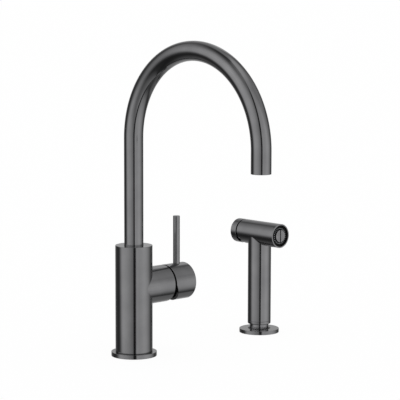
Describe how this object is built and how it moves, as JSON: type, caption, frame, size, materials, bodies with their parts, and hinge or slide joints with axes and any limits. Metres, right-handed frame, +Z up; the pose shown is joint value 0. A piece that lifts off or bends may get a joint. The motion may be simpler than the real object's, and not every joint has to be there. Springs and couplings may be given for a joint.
{
  "type": "side spray kitchen faucet",
  "caption": "Gooseneck kitchen mixer with a side pin lever, beside a pull-out spray handset standing in its own deck ring.",
  "frame": {"origin": "mixer axis on the worktop surface, at the middle of the foot block's underside", "axes": "+Z up along the mixer's axis; the spout points along -Y; the lever and the side spray stand towards +X"},
  "size_m": [0.2885, 0.2859, 0.4142],
  "materials": {
    "gunmetal": "brushed gunmetal coating, satin",
    "brass": "machined",
    "rubber": "matt",
    "black_plastic": "matt moulded",
    "grey_plastic": "matt moulded",
    "light_silicone": "matt",
    "ceramic": "polished alumina",
    "steel": "stainless"
  },
  "bodies": {
    "mixer": {"base_flange": "gunmetal", "deck_seal": "rubber", "foot_block": "brass", "block_seal": "rubber", "mixer_body": "gunmetal", "spout_stop_screw": "steel", "diverter_sleeve": "grey_plastic", "diverter_spring": "steel", "port_seals": "rubber", "cartridge_base": "black_plastic", "fixed_disc": "ceramic", "cartridge_housing": "grey_plastic", "cartridge_nut": "brass", "barrel_trim_ring": "black_plastic", "spray_holder": "gunmetal", "holder_seal": "rubber", "holder_liner": "black_plastic"},
    "spout": {"spout_tube": "gunmetal", "spout_adapter": "brass", "spout_seals": "rubber", "slip_rings": "grey_plastic", "aerator_housing": "black_plastic", "aerator_insert": "grey_plastic", "aerator_seal": "rubber"},
    "diverter": {"diverter_piston": "grey_plastic"},
    "lever_collar": {"turning_collar": "grey_plastic", "pivot_pin": "steel"},
    "mixing_disc": {"moving_disc": "ceramic", "disc_driver": "grey_plastic"},
    "lever": {"lever_spindle": "steel", "lever_cap": "gunmetal", "lever_grub_screw": "steel", "grub_plug": "black_plastic", "lever_rod": "gunmetal"},
    "hose_end": {"hose_collar": "gunmetal", "collar_seal": "rubber", "hose_washer": "rubber", "collar_clip": "steel", "check_valve": "grey_plastic"},
    "handset": {"handset_body": "gunmetal", "valve_carrier": "grey_plastic", "carrier_seal": "rubber", "valve_seat": "grey_plastic", "trigger_pin": "steel", "face_plate": "black_plastic", "nozzle_ring": "light_silicone", "face_screw": "grey_plastic", "valve_spring": "steel"},
    "trigger": {"trigger_cap": "gunmetal"},
    "spray_valve": {"valve_stem": "steel", "valve_washer": "rubber"}
  },
  "joints": [
    {"name": "spout_swivel", "type": "hinge", "parent": "mixer", "child": "spout", "pos_m": [0, 0, 0.13], "axis": [0, 0, 1], "continuous": true},
    {"name": "lever_turn", "type": "hinge", "parent": "mixer", "child": "lever_collar", "pos_m": [0.038, 0, 0.0896], "axis": [1, 0, 0], "range_deg": [-45, 45]},
    {"name": "lever_tilt", "type": "hinge", "parent": "lever_collar", "child": "lever", "pos_m": [0.038, 0, 0.0896], "axis": [0, 1, 0], "range_deg": [0, 20]},
    {"name": "disc_slide", "type": "slide", "parent": "lever_collar", "child": "mixing_disc", "axis": [0, 0, 1], "range_m": [0, 0.0036]},
    {"name": "diverter_lift", "type": "slide", "parent": "mixer", "child": "diverter", "axis": [0, 0, 1], "range_m": [0, 0.002], "stiffness_N_per_m": 150, "deforming": ["diverter_spring"]},
    {"name": "handset_lift", "type": "slide", "parent": "mixer", "child": "hose_end", "axis": [0, 0, 1], "range_m": [0, 0.095]},
    {"name": "handset_turn", "type": "hinge", "parent": "hose_end", "child": "handset", "pos_m": [0.2312, 0, 0.022], "axis": [0, 0, 1], "continuous": true},
    {"name": "trigger_press", "type": "hinge", "parent": "handset", "child": "trigger", "pos_m": [0.2312, 0.0216, 0.1386], "axis": [-1, 0, 0], "range_deg": [0, 16], "stiffness_Nm_per_rad": 0.4, "springref_deg": -8.59},
    {"name": "valve_slide", "type": "slide", "parent": "handset", "child": "spray_valve", "axis": [0, -1, 0], "range_m": [0, 0.0022], "deforming": ["valve_spring"]}
  ],
  "couplings": [
    {"joint": "disc_slide", "follows": "lever_tilt", "m_per_rad": 0.01028},
    {"joint": "valve_slide", "follows": "trigger_press", "m_per_rad": 0.0075}
  ]
}
